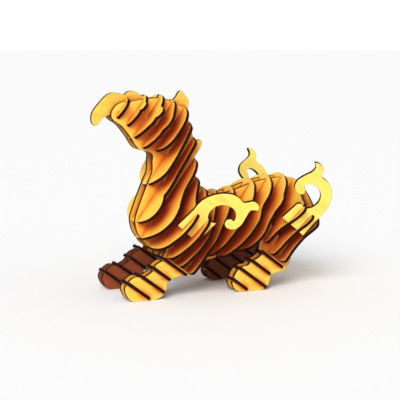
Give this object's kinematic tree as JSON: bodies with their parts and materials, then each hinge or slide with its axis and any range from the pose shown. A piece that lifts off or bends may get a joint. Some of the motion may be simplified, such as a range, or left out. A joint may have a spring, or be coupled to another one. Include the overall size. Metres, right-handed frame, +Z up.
{
  "type": "wooden beast puzzle",
  "caption": "Crouching mythical beast built from flat wooden plates that slot together: leaning ribs on long profile plates, curled scrolls at the sides and barred paws.",
  "frame": {"origin": "middle of the footprint, on the floor under the soles", "axes": "+X towards the tail, so the head faces -X; +Y towards the beast's left side; +Z up"},
  "size_m": [0.1449, 0.0956, 0.1238],
  "materials": {
    "plate_wood": "matte",
    "rib_wood": "matte",
    "scroll_wood": "matte",
    "bars": "matte"
  },
  "bodies": {
    "frame": {"left_profile": "plate_wood", "right_profile": "plate_wood", "head_rib_1": "rib_wood", "head_rib_2": "rib_wood", "head_rib_3": "rib_wood", "head_rib_4": "rib_wood", "head_rib_5": "rib_wood", "chest_rib_2": "rib_wood", "chest_rib_3": "rib_wood", "rump_rib_1": "rib_wood", "rump_rib_2": "rib_wood", "left_front_leg_inner": "plate_wood", "left_front_leg_outer": "plate_wood", "right_front_leg_inner": "plate_wood", "right_front_leg_outer": "plate_wood", "left_hind_leg_inner": "plate_wood", "left_hind_leg_outer": "plate_wood", "right_hind_leg_inner": "plate_wood", "right_hind_leg_outer": "plate_wood", "left_front_bar_1": "bars", "left_front_bar_2": "bars", "left_front_bar_3": "bars", "left_front_bar_4": "bars", "right_front_bar_1": "bars", "right_front_bar_2": "bars", "right_front_bar_3": "bars", "right_front_bar_4": "bars", "left_hind_bar_1": "bars", "left_hind_bar_2": "bars", "left_hind_bar_3": "bars", "left_hind_bar_4": "bars", "right_hind_bar_1": "bars", "right_hind_bar_2": "bars", "right_hind_bar_3": "bars", "right_hind_bar_4": "bars"},
    "neck_rib_1": {"neck_rib_1": "rib_wood"},
    "neck_rib_2": {"neck_rib_2": "rib_wood"},
    "chest_rib_1": {"chest_rib_1": "rib_wood"},
    "chest_rib_4": {"chest_rib_4": "rib_wood"},
    "belly_rib_1": {"belly_rib_1": "rib_wood"},
    "belly_rib_2": {"belly_rib_2": "rib_wood"},
    "belly_rib_3": {"belly_rib_3": "rib_wood"},
    "belly_rib_4": {"belly_rib_4": "rib_wood"},
    "rump_rib_3": {"rump_rib_3": "rib_wood"},
    "crest_plate": {"crest_plate": "plate_wood"},
    "left_front_scroll": {"left_front_scroll": "scroll_wood"},
    "right_front_scroll": {"right_front_scroll": "scroll_wood"},
    "left_hind_scroll": {"left_hind_scroll": "scroll_wood"},
    "right_hind_scroll": {"right_hind_scroll": "scroll_wood"}
  },
  "joints": [
    {"name": "neck_rib_1_lift", "type": "slide", "parent": "frame", "child": "neck_rib_1", "axis": [0.6018, 0, 0.7986], "range_m": [0, 0.024]},
    {"name": "neck_rib_2_lift", "type": "slide", "parent": "frame", "child": "neck_rib_2", "axis": [0.6018, 0, 0.7986], "range_m": [0, 0.032]},
    {"name": "chest_rib_1_lift", "type": "slide", "parent": "frame", "child": "chest_rib_1", "axis": [0.6018, 0, 0.7986], "range_m": [0, 0.03]},
    {"name": "chest_rib_4_lift", "type": "slide", "parent": "frame", "child": "chest_rib_4", "axis": [0.6018, 0, 0.7986], "range_m": [0, 0.027]},
    {"name": "belly_rib_1_lift", "type": "slide", "parent": "frame", "child": "belly_rib_1", "axis": [0.6018, 0, 0.7986], "range_m": [0, 0.029]},
    {"name": "belly_rib_2_lift", "type": "slide", "parent": "frame", "child": "belly_rib_2", "axis": [0.6018, 0, 0.7986], "range_m": [0, 0.0285]},
    {"name": "belly_rib_3_lift", "type": "slide", "parent": "frame", "child": "belly_rib_3", "axis": [0.6018, 0, 0.7986], "range_m": [0, 0.031]},
    {"name": "belly_rib_4_lift", "type": "slide", "parent": "frame", "child": "belly_rib_4", "axis": [0.6018, 0, 0.7986], "range_m": [0, 0.029]},
    {"name": "rump_rib_3_lift", "type": "slide", "parent": "frame", "child": "rump_rib_3", "axis": [0.6018, 0, 0.7986], "range_m": [0, 0.0095]},
    {"name": "crest_plate_lift", "type": "slide", "parent": "frame", "child": "crest_plate", "axis": [0.6018, 0, 0.7986], "range_m": [0, 0.01]},
    {"name": "left_front_scroll_lift", "type": "slide", "parent": "frame", "child": "left_front_scroll", "axis": [0.5548, 0.3875, 0.7362], "range_m": [0, 0.013]},
    {"name": "right_front_scroll_lift", "type": "slide", "parent": "frame", "child": "right_front_scroll", "axis": [0.5548, -0.3875, 0.7362], "range_m": [0, 0.013]},
    {"name": "left_hind_scroll_lift", "type": "slide", "parent": "frame", "child": "left_hind_scroll", "axis": [0.5548, 0.3875, 0.7362], "range_m": [0, 0.013]},
    {"name": "right_hind_scroll_lift", "type": "slide", "parent": "frame", "child": "right_hind_scroll", "axis": [0.5548, -0.3875, 0.7362], "range_m": [0, 0.013]}
  ]
}
